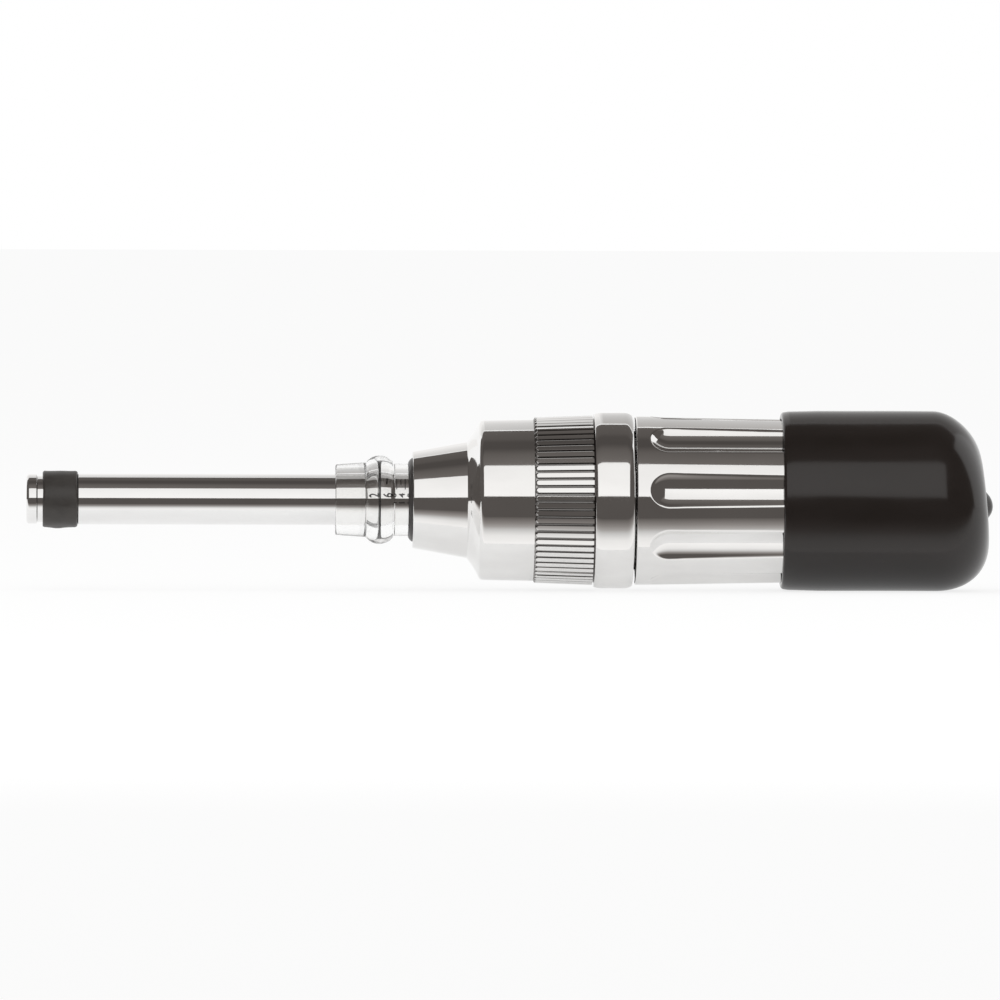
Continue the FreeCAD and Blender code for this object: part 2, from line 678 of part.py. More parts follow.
def cut_flutes(body):
    """Long scoops round the barrel, each cut by a round-ended tool that runs out of the rear end."""
    s = size
    tool = s("flute_tool_radius")
    line = s("flute_floor") + tool
    straight = s("flute_start") + s("flute_half_length")
    phase = s("flute_phase")
    tilt = FreeCAD.Placement(V(), FreeCAD.Rotation(V(1, 0, 0), phase.amount))
    sketch = sketch_on(body, "XZ_Plane", "flute", tilt)
    sketch.setExpression("AttachmentOffset.Rotation.Angle", phase.text)
    draw(sketch, [(straight - tool, line), (straight, s("flute_floor"), -tool),
                  (s("barrel_end") + NUDGE, s("flute_floor")), (s("barrel_end") + NUDGE, line)])
    axis = sketch.addGeometry(Part.LineSegment(V(straight.amount, line.amount, 0),
                                               V(s("barrel_end").amount, line.amount, 0)), True)
    fix(sketch, Sketcher.Constraint("Horizontal", axis))
    fix_point(sketch, axis, 1, straight, line)
    fix(sketch, Sketcher.Constraint("DistanceX", -1, 1, axis, 2, s("barrel_end").amount),
        s("barrel_end").text)
    volume = body.Shape.Volume
    flute = body.newObject("PartDesign::Groove", "barrel_flute")
    flute.Profile = sketch
    flute.ReferenceAxis = (sketch, ["Axis0"])
    flute.Angle = 360
    body.Document.recompute()
    if not body.Shape.Volume < volume:
        raise ValueError("the flute cuts nothing")
    repeat_round(body, [flute], s("flutes"))


def make_stop_ring(doc):
    """Snap ring on the spigot: the sleeve's thread land meets it at the lowest setting."""
    s = size
    play = s("clip_play")
    return turned(doc, "stop_ring", [
        (s("stop_start") + play, s("stop_root_radius") + play),
        (s("stop_start") + play, s("stop_radius")), (s("stop_end") - play, s("stop_radius")),
        (s("stop_end") - play, s("stop_root_radius") + play)])


def make_end_plug(doc):
    """Slotted plug in the barrel's rear cavity."""
    s = size
    radius = s("tail_cavity") - s("tail_gap")
    end = s("barrel_end") - s("plug_round")
    body = turned(doc, "end_plug", [(s("plug_start"), 0), (s("plug_start"), radius),
                                    (end, radius), (end, 0)])
    round_edges(body, "Chamfer", s("plug_round"), (s("plug_start"), radius), (end, radius))
    half = s("slot_width") / 2
    reach = s("tail_cavity") + NUDGE
    slot = cross_section(body, "slot", end - s("slot_depth"),
                         [(-half, -reach), (half, -reach), (half, reach), (-half, reach)])
    pocket(body, slot, s("slot_depth") + NUDGE, "slot_cut")
    return body


# ---------------------------------------------------------------- cap


def make_end_cap(doc):
    """Dipped cap: a soft cup whose closed end slants a little and carries the nub of the last drip."""
    s = size
    overlong = s("cap_end") + s("cap_radius")
    body = turned(doc, "end_cap", [(s("cap_start"), 0), (s("cap_start"), s("cap_radius")),
                                   (overlong, s("cap_radius")), (overlong, 0)])
    slant_the_end(body, overlong)
    rim = [f"Edge{number}" for number, edge in enumerate(body.Shape.Edges, start=1)
           if isinstance(edge.Curve, Part.Ellipse)]
    dress(body, "Fillet", s("cap_corner"), rim)
    round_edges(body, "Fillet", s("cap_mouth_round"), (s("cap_start"), s("cap_radius")))
    put_on(body, "Sphere", "nub", x=s("cap_end") + s("nub_height") - s("nub_radius"),
           z=-s("nub_drop"), Radius=s("nub_radius"))
    hollow_the_cap(body)
    return body


def slant_the_end(body, overlong):
    """Cuts the blank's end along a plane that leans away at the bottom."""
    s = size
    reach = s("cap_radius") + NUDGE
    lean = reach * tangent(s("cap_slant"))
    top, bottom = s("cap_end") - lean, s("cap_end") + lean
    far = overlong + NUDGE
    side = draw(sketch_on(body, "XZ_Plane", "slant"),
                [(top, reach), (far, reach), (far, -reach), (bottom, -reach)])
    cut = body.newObject("PartDesign::Pocket", "cap_slant_cut")
    cut.Profile = side
    cut.Midplane = True
    bind(cut, Length=reach * 2)
    body.Document.recompute()


def hollow_the_cap(body):
    """The room for the barrel's fluted end, rounded like the barrel."""
    s = size
    bore = draw(sketch_on(body, "XZ_Plane", "bore"), [
        (s("cap_start") - NUDGE, 0), (s("cap_start") - NUDGE, s("cap_bore")),
        (s("cap_bore_end") - s("cap_bore_corner"), s("cap_bore")),
        (s("cap_bore_end"), s("cap_bore") - s("cap_bore_corner"), s("cap_bore_corner")),
        (s("cap_bore_end"), 0)])
    volume = body.Shape.Volume
    cut = body.newObject("PartDesign::Groove", "cap_bore_cut")
    cut.Profile = bore
    cut.ReferenceAxis = (bore, ["H_Axis"])
    cut.Angle = 360
    body.Document.recompute()
    if not body.Shape.Volume < volume:
        raise ValueError("the cap's bore cuts nothing")


# ---------------------------------------------------------------- the whole tool


def check(doc, parts):
    """Stops if any object failed to compute, or any sub-part has no sound shape."""
    for thing in doc.Objects:
        if "Invalid" in thing.State or "Error" in thing.State:
            raise ValueError(f"{thing.Label} did not compute: {thing.State}")
    for part in parts:
        if part.Shape.isNull() or not part.Shape.isValid():
            raise ValueError(f"{part.Label} has no sound shape")


def main():
    doc = FreeCAD.newDocument("torque_screwdriver")
    make_sheet(doc)
    race = size("race_thickness")
    parts = [
        make_shank(doc),
        make_retaining_ball(doc),
        make_ball_band(doc),
        make_scale_lens(doc),
        make_lens_retainer(doc),
        make_shank_seal(doc),
        make_adjusting_sleeve(doc),
        ring(doc, "nose_bush", "bush_start", "bush_end", "bush_radius", "bush_inner"),
        ring(doc, "front_thrust_washer", "washer_start", "washer_end", "washer_radius",
             "washer_bore"),
        make_spring_seat(doc),
        make_main_spring(doc),
        make_pressure_plate(doc),
        make_plate_keys(doc),
        make_balls(doc, "clutch_balls", "clutch_balls", "clutch_ball_radius",
                   "clutch_ball_place", "clutch_orbit"),
        make_driven_disc(doc),
        ring(doc, "thrust_race_front", "front_race_start", size("front_race_start") + race,
             "race_radius", "front_race_bore"),
        make_balls(doc, "thrust_balls", "thrust_balls", "thrust_ball_radius",
                   "thrust_ball_place", "thrust_orbit"),
        make_cage(doc),
        ring(doc, "thrust_race_rear", "rear_race_start", size("rear_race_start") + race,
             "race_radius", "rear_race_bore"),
        make_clip(doc),
        make_handle_barrel(doc),
        make_stop_ring(doc),
        make_end_plug(doc),
        make_end_cap(doc),
    ]
    doc.recompute()
    check(doc, parts)
    os.makedirs("parts", exist_ok=True)
    for part in parts:
        part.Shape.exportStep(f"parts/{part.Label}.step")
        box = part.Shape.BoundBox
        print(f"{part.Label:22s} {part.Shape.Volume:10.1f} mm3   x {box.XMin:8.2f} to {box.XMax:8.2f}"
              f"   z {box.ZMin:7.2f} to {box.ZMax:7.2f}")


main()
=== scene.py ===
"""Looks of a micrometer-set torque screwdriver that lies on a pale floor.

The outer pieces are turned as fine meshes round the tool's axis, which is X, and the main spring is wound
round it. A place on them is given by x and radius in millimetres, and by its height angle: 0 faces the
front (-Y), a quarter turn is the top (+Z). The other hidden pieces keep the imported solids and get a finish.
"""
import math

import bmesh
import bpy
from mathutils import Matrix, Vector


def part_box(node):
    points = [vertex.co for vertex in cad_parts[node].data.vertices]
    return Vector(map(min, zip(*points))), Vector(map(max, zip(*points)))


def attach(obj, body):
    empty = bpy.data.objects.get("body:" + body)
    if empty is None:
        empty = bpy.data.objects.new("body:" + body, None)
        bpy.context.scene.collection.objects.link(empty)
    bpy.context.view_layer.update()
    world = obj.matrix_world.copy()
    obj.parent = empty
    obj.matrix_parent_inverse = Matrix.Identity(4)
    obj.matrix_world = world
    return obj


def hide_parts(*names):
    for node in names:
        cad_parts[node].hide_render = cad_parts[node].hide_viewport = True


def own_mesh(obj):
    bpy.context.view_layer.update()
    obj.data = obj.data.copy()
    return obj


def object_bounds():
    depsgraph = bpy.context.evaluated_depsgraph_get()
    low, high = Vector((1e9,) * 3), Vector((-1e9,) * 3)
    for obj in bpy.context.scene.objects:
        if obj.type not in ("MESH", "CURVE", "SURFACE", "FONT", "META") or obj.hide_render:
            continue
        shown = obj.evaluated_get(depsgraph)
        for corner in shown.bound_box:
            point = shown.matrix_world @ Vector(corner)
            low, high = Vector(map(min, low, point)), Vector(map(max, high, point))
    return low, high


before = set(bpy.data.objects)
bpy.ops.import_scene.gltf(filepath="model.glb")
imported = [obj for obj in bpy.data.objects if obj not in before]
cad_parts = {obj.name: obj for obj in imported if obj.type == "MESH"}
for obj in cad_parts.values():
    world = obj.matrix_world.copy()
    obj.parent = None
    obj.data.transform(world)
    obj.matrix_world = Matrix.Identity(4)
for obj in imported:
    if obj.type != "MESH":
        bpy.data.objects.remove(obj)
cad_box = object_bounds()

MM = 0.001
TURN = 2 * math.pi
FINE = 0.12          # mm between a rounded corner and the loop that keeps the run beside it straight
LONG = 1.2           # mm from which a run of an outline is straight, and not a step of an arc


def ends(node):
    """Where a node starts and ends along the tool, in millimetres."""
    low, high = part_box(node)
    return low.x / MM, high.x / MM


def reach(node):
    """A node's greatest radius, in millimetres."""
    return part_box(node)[1].z / MM


# ---------------------------------------------------------------- outlines and turned meshes


def rounded(corners, steps=6):
    """Points of an outline of (x, radius) corners. A third value is the radius that rounds the corner."""
    points = []
    for number, (x, radius, *rounding) in enumerate(corners):
        here = Vector((x, radius))
        if not rounding or number in (0, len(corners) - 1):
            points.append(here)
            continue
        back = Vector(corners[number - 1][:2]) - here
        ahead = Vector(corners[number + 1][:2]) - here
        half_turn = (math.pi - back.angle(ahead)) / 2
        shared, whole = 0.49, 0.97
        room = min(side.length * (shared if len(corners[near]) > 2 else whole)
                   for side, near in ((back, number - 1), (ahead, number + 1)))
        run = min(rounding[0] * math.tan(half_turn), room)
        bend = run / math.tan(half_turn)
        middle = (back.normalized() + ahead.normalized()).normalized()
        centre = here + middle * bend / math.cos(half_turn)
        start = here + back.normalized() * run - centre
        end = here + ahead.normalized() * run - centre
        swing = start.angle_signed(end)
        for step in range(steps + 1):
            arm = start.copy()
            arm.rotate(Matrix.Rotation(-swing * step / steps, 2))
            points.append(centre + arm)
    return with_loops(points)


def with_loops(points):
    """Adds a point close to each end of every long run, so that its shading stays even."""
    kept = [points[0]]
    for start, end in zip(points, points[1:]):
        run = end - start
        if run.length < 1e-6:
            continue
        if run.length > LONG:
            kept += [start + run.normalized() * FINE, end - run.normalized() * FINE]
        kept.append(end)
    return kept


def arc(start, end, radius, steps=8):
    """The points of an arc between two (x, radius) points, without them. A positive radius bulges outwards."""
    start, end = Vector(start), Vector(end)
    chord = end - start
    out = Vector((-chord.y, chord.x)).normalized()
    out *= math.copysign(1, out.y * radius)
    half = chord.length / 2
    centre = (start + end) / 2 - out * math.sqrt(radius * radius - half * half)
    swing = (start - centre).angle_signed(end - centre)
    points = []
    for step in range(1, steps):
        arm = start - centre
        arm.rotate(Matrix.Rotation(-swing * step / steps, 2))
        points.append(tuple(centre + arm))
    return points


def spot(x, radius, angle):
    """The place, in metres, of a point given by x and radius in millimetres and a height angle."""
    return Vector((x, -radius * math.cos(angle), radius * math.sin(angle))) * MM


def ring(x, radius, count, shape=None):
    """A ring of places round the axis. shape(x, radius, angle) gives an altered x and radius."""
    places = []
    for number in range(count):
        angle = TURN * number / count
        at = shape(x, radius, angle) if shape else (x, radius)
        places.append(spot(*at, angle))
    return places


def rings(points, count, shape=None):
    return [ring(x, radius, count, shape) for x, radius in points]


def skin(name, loops, closed=False, sharp=50):
    """A mesh over rings of places, whose counts may differ by a whole factor. closed joins the ends."""
    mesh = bmesh.new()
    made = []
    for loop in loops:
        flat = max((place - loop[0]).length for place in loop) < 1e-9
        made.append([mesh.verts.new(place) for place in (loop[:1] if flat else loop)])
    if closed:
        made.append(made[0])
    for first, second in zip(made, made[1:]):
        join_rings(mesh, first, second)
    return finished(name, mesh, sharp)


def finished(name, mesh, sharp=50):
    """Turns a bmesh into a piece with outward normals, smooth but for edges sharper than an angle."""
    bmesh.ops.recalc_face_normals(mesh, faces=mesh.faces)
    for face in mesh.faces:
        face.smooth = True
    for edge in mesh.edges:
        if len(edge.link_faces) == 2 and edge.calc_face_angle() > math.radians(sharp):
            edge.smooth = False
    data = bpy.data.meshes.new(name)
    mesh.to_mesh(data)
    mesh.free()
    piece = bpy.data.objects.new(name, data)
    bpy.context.scene.collection.objects.link(piece)
    return piece


def join_rings(mesh, first, second):
    """Faces between two rings. The finer ring's points are shared out over the coarser ring's runs."""
    if len(first) > len(second):
        first, second = second, first
    count = len(first)
    share = len(second) // count
    if count == 1:
        for number in range(share):
            mesh.faces.new([first[0], second[number], second[(number + 1) % share]])
        return
    for number in range(count):
        far = [second[(number * share + step) % len(second)] for step in range(share, -1, -1)]
        mesh.faces.new([first[number], first[(number + 1) % count]] + far)


def add_bar(mesh, sections):
    """Adds a solid bar that runs through sections with equally many corners, and is closed at both ends."""
    made = [[mesh.verts.new(place) for place in section] for section in sections]
    for first, second in zip(made, made[1:]):
        for number in range(len(first)):
            ahead = (number + 1) % len(first)
            mesh.faces.new([first[number], first[ahead], second[ahead], second[number]])
    mesh.faces.new(made[0])
    mesh.faces.new(made[-1])


def put(piece, finish, body, slot, *nodes):
    """Gives a piece its material and body, and lets it stand for its CAD nodes. The slot argument is not used.
    """
    piece.data.materials.append(finish)
    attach(piece, body)
    if nodes:
        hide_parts(*nodes)
    return piece


def smooth_step(low, high, amount):
    share = min(max((amount - low) / (high - low), 0), 1)
    return share * share * (3 - 2 * share)


def soft_low(first, second, blend):
    """The lower of two heights, rounded where they cross."""
    share = max(blend - abs(first - second), 0) / blend
    return min(first, second) - share * share * blend / 4


# ---------------------------------------------------------------- finishes


def node(tree, kind, **values):
    """A shader node with some of its inputs set."""
    made = tree.nodes.new(kind)
    for name, amount in values.items():
        made.inputs[name.replace("_", " ")].default_value = amount
    return made


def field(tree, grain, detail=3.0):
    """Noise over a piece, with grains of the given size in millimetres along X, Y and Z."""
    place = tree.nodes.new("ShaderNodeTexCoord")
    scale = node(tree, "ShaderNodeMapping", Scale=[1 / (size * MM) for size in grain])
    noise = node(tree, "ShaderNodeTexNoise", Scale=1.0, Detail=detail)
    tree.links.new(place.outputs["Object"], scale.inputs["Vector"])
    tree.links.new(scale.outputs["Vector"], noise.inputs["Vector"])
    return noise.outputs["Fac"]


def vary(tree, amount, low, high, target):
    """Spreads noise between two levels and sends it to an input."""
    spread = node(tree, "ShaderNodeMapRange", From_Min=0.3, From_Max=0.7, To_Min=low, To_Max=high)
    tree.links.new(amount, spread.inputs["Value"])
    tree.links.new(spread.outputs["Result"], target)


def tint(tree, amount, dark, light, target):
    """Spreads noise between two colours and sends it to an input."""
    ramp = tree.nodes.new("ShaderNodeValToRGB")
    for stop, place, colour in zip(ramp.color_ramp.elements, (0.3, 0.7), (dark, light)):
        stop.position = place
        stop.color = (*colour, 1)
    tree.links.new(amount, ramp.inputs["Fac"])
    tree.links.new(ramp.outputs["Color"], target)


def rough(tree, shader, amount, height):
    """Bumps a shader by noise of a height in millimetres."""
    bump = node(tree, "ShaderNodeBump", Strength=1.0, Distance=height * MM, Height=0.0)
    tree.links.new(amount, bump.inputs["Height"])
    tree.links.new(bump.outputs["Normal"], shader.inputs["Normal"])


def finish(name, dark, light, smooth, dull, grain, bump_grain, bump_height, **sockets):
    """A procedural material: colour between two tints, roughness between two levels, and a fine bump."""
    made = bpy.data.materials.new(name)
    made.use_nodes = True
    tree = made.node_tree
    shader = tree.nodes["Principled BSDF"]
    for socket, amount in sockets.items():
        shader.inputs[socket.replace("_", " ")].default_value = amount
    cloud = field(tree, grain)
    tint(tree, cloud, dark, light, shader.inputs["Base Color"])
    vary(tree, cloud, smooth, dull, shader.inputs["Roughness"])
    rough(tree, shader, field(tree, bump_grain, detail=4.0), bump_height)
    return made


def darken_grooves(made, colour):
    """Darkens a finish where a piece's attribute "groove" is high: painted shade in the knurl's grooves."""
    tree = made.node_tree
    base = tree.nodes["Principled BSDF"].inputs["Base Color"]
    unshaded_colour = base.links[0].from_socket
    # The "groove" attribute says how much painted shade a point gets.
    depth = tree.nodes.new("ShaderNodeAttribute")
    depth.attribute_name = "groove"
    mix = tree.nodes.new("ShaderNodeMix")
    mix.data_type = "RGBA"
    share, _, first, second = (mix.inputs[number] for number in (0, 1, 6, 7))
    second.default_value = (*colour, 1)
    tree.links.new(depth.outputs["Fac"], share)
    tree.links.new(unshaded_colour, first)
    tree.links.new(mix.outputs[2], base)
    return made


def make_finishes():
    """The record's material slots, each as one procedural material."""
    chrome = finish("chrome", (0.865, 0.857, 0.847), (0.92, 0.915, 0.905), 0.035, 0.075,
                    (14, 5, 5), (22, 0.8, 0.8), 0.0012, Metallic=1.0)
    return {
        # The chrome gets painted shade in the knurl's grooves: a dark colour mixed in by the "groove"
        # attribute.
        "chrome": darken_grooves(chrome, (0.1, 0.09, 0.085)),
        "polished_steel": finish("polished_steel", (0.87, 0.865, 0.86), (0.92, 0.917, 0.912), 0.02, 0.045,
                                 (20, 4, 4), (30, 0.7, 0.7), 0.0006, Metallic=1.0),
        "plain_steel": finish("plain_steel", (0.45, 0.45, 0.46), (0.56, 0.56, 0.57), 0.22, 0.36,
                              (3, 2, 2), (0.1, 1.2, 1.2), 0.004, Metallic=1.0),
        "spring_steel": finish("spring_steel", (0.22, 0.24, 0.27), (0.34, 0.35, 0.37), 0.2, 0.34,
                               (3, 3, 3), (0.4, 0.4, 0.4), 0.003, Metallic=1.0),
        "bearing_steel": finish("bearing_steel", (0.6, 0.6, 0.61), (0.7, 0.7, 0.71), 0.06, 0.12,
                                (2, 2, 2), (0.6, 0.6, 0.6), 0.0006, Metallic=1.0),
        "bronze": finish("bronze", (0.42, 0.27, 0.12), (0.6, 0.41, 0.2), 0.3, 0.45,
                         (1.2, 1.2, 1.2), (0.15, 0.15, 0.15), 0.006, Metallic=1.0),
        "clear_plastic": finish("clear_plastic", (0.975, 0.975, 0.97), (0.99, 0.99, 0.985), 0.0, 0.02,
                                (9, 4, 4), (6, 2, 2), 0.0006, Transmission_Weight=1.0, IOR=1.49),
        "dark_plastic": finish("dark_plastic", (0.03, 0.027, 0.026), (0.05, 0.045, 0.043), 0.3, 0.42,
                               (2, 2, 2), (0.3, 0.3, 0.3), 0.004),
        "black_rubber": finish("black_rubber", (0.03, 0.026, 0.023), (0.044, 0.039, 0.035), 0.36, 0.46,
                               (2.5, 1.5, 1.5), (0.3, 0.3, 0.3), 0.012),
        "black_vinyl": finish("black_vinyl", (0.0125, 0.0095, 0.008), (0.0165, 0.0125, 0.011), 0.13, 0.19,
                              (18, 7, 7), (16, 9, 9), 0.02, IOR=1.5),
    }


FINISHES = make_finishes()


# ---------------------------------------------------------------- shank, band and scale


def hexagon(across, angle):
    """Radius of a hexagon's side in a direction. Two of its flats are level."""
    sixth = TURN / 6
    turned = (angle - TURN / 4 + sixth / 2) % sixth - sixth / 2
    return across / 2 / math.cos(turned)


def make_shank():
    """The spindle, with its bit socket, the band's groove and the flats and clip groove at its tail."""
    start, end = ends("shank")
    body = reach("shank")
    lip, lip_end, neck, tail, flat, clip_root = 4.65, 1.95, 4.375, 3.9, 3.3, 3.4
    groove_end = ends("ball_band")[1] + 0.04
    disc_start, disc_end = ends("driven_disc")
    clip_start, clip_end = (x + play for x, play in zip(ends("shank_clip"), (-0.05, 0.05)))
    across, depth, lead = 6.4, 13.0, 0.45
    count = 192

    outside = rounded([
        (start, across / 2 + lead), (start, lip, 0.6), (lip_end, lip, 0.2), (lip_end + 0.12, neck, 0.1),
        (groove_end, neck, 0.1), (groove_end, body, 0.3), (disc_start, body, 0.2), (disc_start, tail)])
    behind = rounded([
        (disc_end, tail), (clip_start, tail, 0.05), (clip_start, clip_root, 0.05),
        (clip_end, clip_root, 0.05), (clip_end, tail, 0.05), (end, tail, 0.4), (end, 0)])

    def socket_wall(x, _, angle):
        side = hexagon(across, angle)
        mouth = max(across / 2 + lead - side, 0)
        return max(x, mouth), side

    def with_flats(x, radius, angle):
        return x, min(radius, flat / max(abs(math.sin(angle)), 1e-6))

    inside = [ring(start + depth, 0, count)]
    inside.append(ring(start + depth, 0, count, lambda x, _, angle: (x, hexagon(across, angle))))
    inside.append(ring(start, 0, count, socket_wall))
    inside.append(ring(start, 0, count, lambda x, _, angle: (
        x, max(hexagon(across, angle), across / 2 + lead))))
    flats = [ring(x, tail, count, with_flats) for x in (disc_start, disc_end)]
    loops = inside + rings(outside[1:], count) + flats + rings(behind, count)
    put(skin("shank_turned", loops), FINISHES["polished_steel"], "shank", "polished_steel", "shank")


def make_band():
    """The rubber band over the bit ball: soft edges, a little uneven, with the ball's swelling below."""
    start, end = ends("ball_band")
    bore, radius = 4.4, 5.3
    ball_x = sum(ends("retaining_ball")) / 2
    swelling, spread = reach_below("ball_band") - radius, 1.25

    def uneven(x, r, angle):
        lean = 0.06 * math.sin(angle * 2 + 0.6) + 0.035 * math.sin(angle * 5)
        share = (x - start) / (end - start)
        moved = x + lean * (1 - share) + 0.05 * share * math.sin(angle * 3 + 2)
        below = (angle - 3 * TURN / 4) * radius
        bump = swelling * math.exp(-((x - ball_x) ** 2 + below ** 2) / spread ** 2)
        wave = 0.02 * math.sin(x * 1.7) * math.sin(angle * 3)
        outer = smooth_step(bore, radius, r)
        return max(moved, start), r + (bump + wave) * outer

    middle = [(start + share * (end - start) / 8, radius) for share in range(1, 8)]
    outline = rounded([(start, bore), (start, radius, 0.45), *middle, (end, radius, 0.45), (end, bore)])
    piece = skin("ball_band_soft", rings(outline, 160, uneven), closed=True)
    put(piece, FINISHES["black_rubber"], "shank", "black_rubber", "ball_band")


def reach_below(name):
    """How far a node reaches below the axis, in millimetres."""
    return -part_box(name)[0].z / MM


def line_of_scale(mesh, x, low_angle, high_angle, radius):
    """A line across the scale: a thin bar round the shank, between two height angles in degrees."""
    half_width, sunk, proud, steps = 0.09, 0.02, 0.02, 8
    sections = []
    for step in range(steps + 1):
        angle = math.radians(low_angle + (high_angle - low_angle) * step / steps)
        corners = [(-half_width, -sunk), (half_width, -sunk), (half_width, proud), (-half_width, proud)]
        sections.append([spot(x + along, radius + out, angle) for along, out in corners])
    add_bar(mesh, sections)


def digit_mesh(digit, tall):
    """A flat digit of a height in millimetres, centred, as a mesh with a little thickness."""
    text = bpy.data.curves.new("digit", "FONT")
    text.body = digit
    text.align_x, text.align_y = "CENTER", "CENTER"
    cap_height = 0.73
    text.size = tall / cap_height
    text.extrude = 0.02
    text.offset = 0.03
    text.resolution_u = 4
    written = bpy.data.objects.new("digit", text)
    made = bpy.data.meshes.new_from_object(written)
    bpy.data.objects.remove(written)
    bpy.data.curves.remove(text)
    return made


def number_of_scale(mesh, number, x, angle, radius):
    """A number that is read upwards, with its last digit centred at x and a height angle in degrees."""
    tall, step = 1.15, 15.3
    for place, digit in enumerate(reversed(str(number))):
        middle = math.radians(angle - step * place)
        flat = digit_mesh(digit, tall)
        for vertex in flat.vertices:
            across, up, proud = vertex.co
            vertex.co = spot(x - up, radius + proud, middle + across / radius)
        mesh.from_mesh(flat)
        bpy.data.meshes.remove(flat)


def make_scale():
    """The torque scale on the shank: a line for each half turn of the sleeve, and a number for each turn."""
    radius = reach("shank")
    turn, first_line, last_line = 1.5875, 66.3, 73.44
    long_low, short_low, high = 23, 33, 48
    lowest_setting, number_angle, number_gap = 2, 10.3, 0.55
    mesh = bmesh.new()
    for half_turns in range(10):
        x = first_line + turn * half_turns / 2
        full = half_turns % 2 == 0
        line_of_scale(mesh, x, long_low if full else short_low, high, radius)
        if full:
            setting = lowest_setting + 2 * half_turns
            number_of_scale(mesh, setting, x - number_gap, number_angle, radius)
    line_of_scale(mesh, last_line, long_low, high, radius)
    put(finished("shank_scale", mesh, sharp=40), FINISHES["dark_plastic"], "shank", "dark_plastic")


# ---------------------------------------------------------------- lens and sleeve


def make_lens():
    """The clear lens: tapered front, magnifying bead over the index groove, neck, and flange in the nose."""
    start, end = ends("scale_lens")
    bore, front, step, neck, flange, tail = 4.9, 6.62, 7.02, 6.8, 7.6, 6.7
    bead_start, bead_end, bead_root, bead_curve = start + 5.7, start + 10.9, 7.05, 3.27
    flange_start, flange_end = start + 15.25, start + 16.8
    groove_start, groove_end, groove = start + 6.1, start + 8.2, 5.5
    bead_points = arc((bead_start, step), (bead_end, bead_root), bead_curve, steps=24)
    outline = rounded([
        (start, bore), (start, front, 0.3), (bead_start, step), *bead_points,
        (bead_end, neck + 0.12), (bead_end + 0.25, neck, 0.2), (flange_start, neck, 0.1),
        (flange_start, flange, 0.15), (flange_end, flange, 0.15), (flange_end, tail, 0.1),
        (end, tail, 0.15), (end, bore), (groove_end, bore), (groove_end, groove, 0.1),
        (groove_start, groove, 0.1), (groove_start, bore)])
    piece = skin("scale_lens_clear", rings(outline, 192), closed=True, sharp=60)
    put(piece, FINISHES["clear_plastic"], "sleeve", "clear_plastic", "scale_lens")


def make_index():
    """The index: a fine dark line in the lens's bore, just behind the groove."""
    start = ends("scale_lens")[0] + 8.25
    width, low, high = 0.2, 4.85, 4.95
    outline = [(start, low), (start, high), (start + width, high), (start + width, low)]
    piece = skin("index_line", rings(outline, 192), closed=True)
    put(piece, FINISHES["dark_plastic"], "sleeve", "dark_plastic")


def make_retainer():
    """The dark ring between the lens's neck and the nose."""
    start, end = ends("lens_retainer")
    bore, lip, rim, tail = 6.85, 7.1, reach("lens_retainer"), 7.68
    nose = ends("adjusting_sleeve")[0]
    outline = rounded([
        (start, bore), (start, lip, 0.12), (start + 0.3, 7.55, 0.2), (start + 0.66, rim, 0.12),
        (nose, rim, 0.05), (nose, tail, 0.05), (end, tail, 0.1), (end, bore)])
    piece = skin("lens_retainer_ring", rings(outline, 160), closed=True)
    put(piece, FINISHES["dark_plastic"], "sleeve", "dark_plastic", "lens_retainer")


TEETH = 68
TOOTH_DEPTH = 0.4
HALF_TOOTH = (0.07, 0.105, 0.14, 0.21, 0.26, 0.33, 0.42)   # from a groove's middle to a ridge's, as shares
TOOTH_SHARES = (0, *HALF_TOOTH, 0.5, *(1 - share for share in reversed(HALF_TOOTH)))


def knurled(start, floor_half, wall):
    """A shape for rings of the knurl: ridges with rounded front ends and flat crowns, and grooves between."""
    pitch = TURN / TEETH

    def shape(x, radius, angle):
        from_groove = (angle / pitch) % 1
        from_groove = min(from_groove, 1 - from_groove) * pitch * radius
        inside = from_groove - floor_half
        half = pitch * radius / 2 - floor_half
        if x < start + half:
            inside = half - math.hypot(start + half - x, half - inside)
        return x, radius - TOOTH_DEPTH * (1 - smooth_step(0, wall, inside))

    return shape


def tooth_ring(x, radius, shape):
    """A ring whose points lie closest at the walls of the knurl's ridges."""
    pitch = TURN / TEETH
    places = []
    for tooth in range(TEETH):
        for share in TOOTH_SHARES:
            angle = (tooth + share) * pitch
            places.append(spot(*shape(x, radius, angle), angle))
    return places


def mark_grooves(piece, start, end, crown_at):
    """Writes how much painted shade each point of the knurl gets: most on the grooves' walls, and less on
    their floors.
    """
    layer = piece.data.attributes.new("groove", "FLOAT", "POINT")
    run_out, floor_share = 0.45, 0.6
    for vertex, mark in zip(piece.data.vertices, layer.data):
        x, radius = vertex.co.x / MM, math.hypot(vertex.co.y, vertex.co.z) / MM
        if not start < x < end or radius < crown_at(x) - 2 * TOOTH_DEPTH:
            continue
        depth = min(max((crown_at(x) - radius) / TOOTH_DEPTH, 0), 1)
        mark.value = max(4 * depth * (1 - depth), floor_share * depth)
        # Painted shade is full in the deep grooves at the knurl's rear end.
        if x > end - run_out and depth > 0.5:
            mark.value = 1


def knurl_places(start, end):
    """Where the knurl's rings lie: close together at the ridges' ends, and far apart between."""
    front = [start + 0.07 * step for step in range(14)]
    return front + [start + 1.2, (start + end) / 2, end - 0.6, end - 0.42, end - 0.12, end - 0.04]


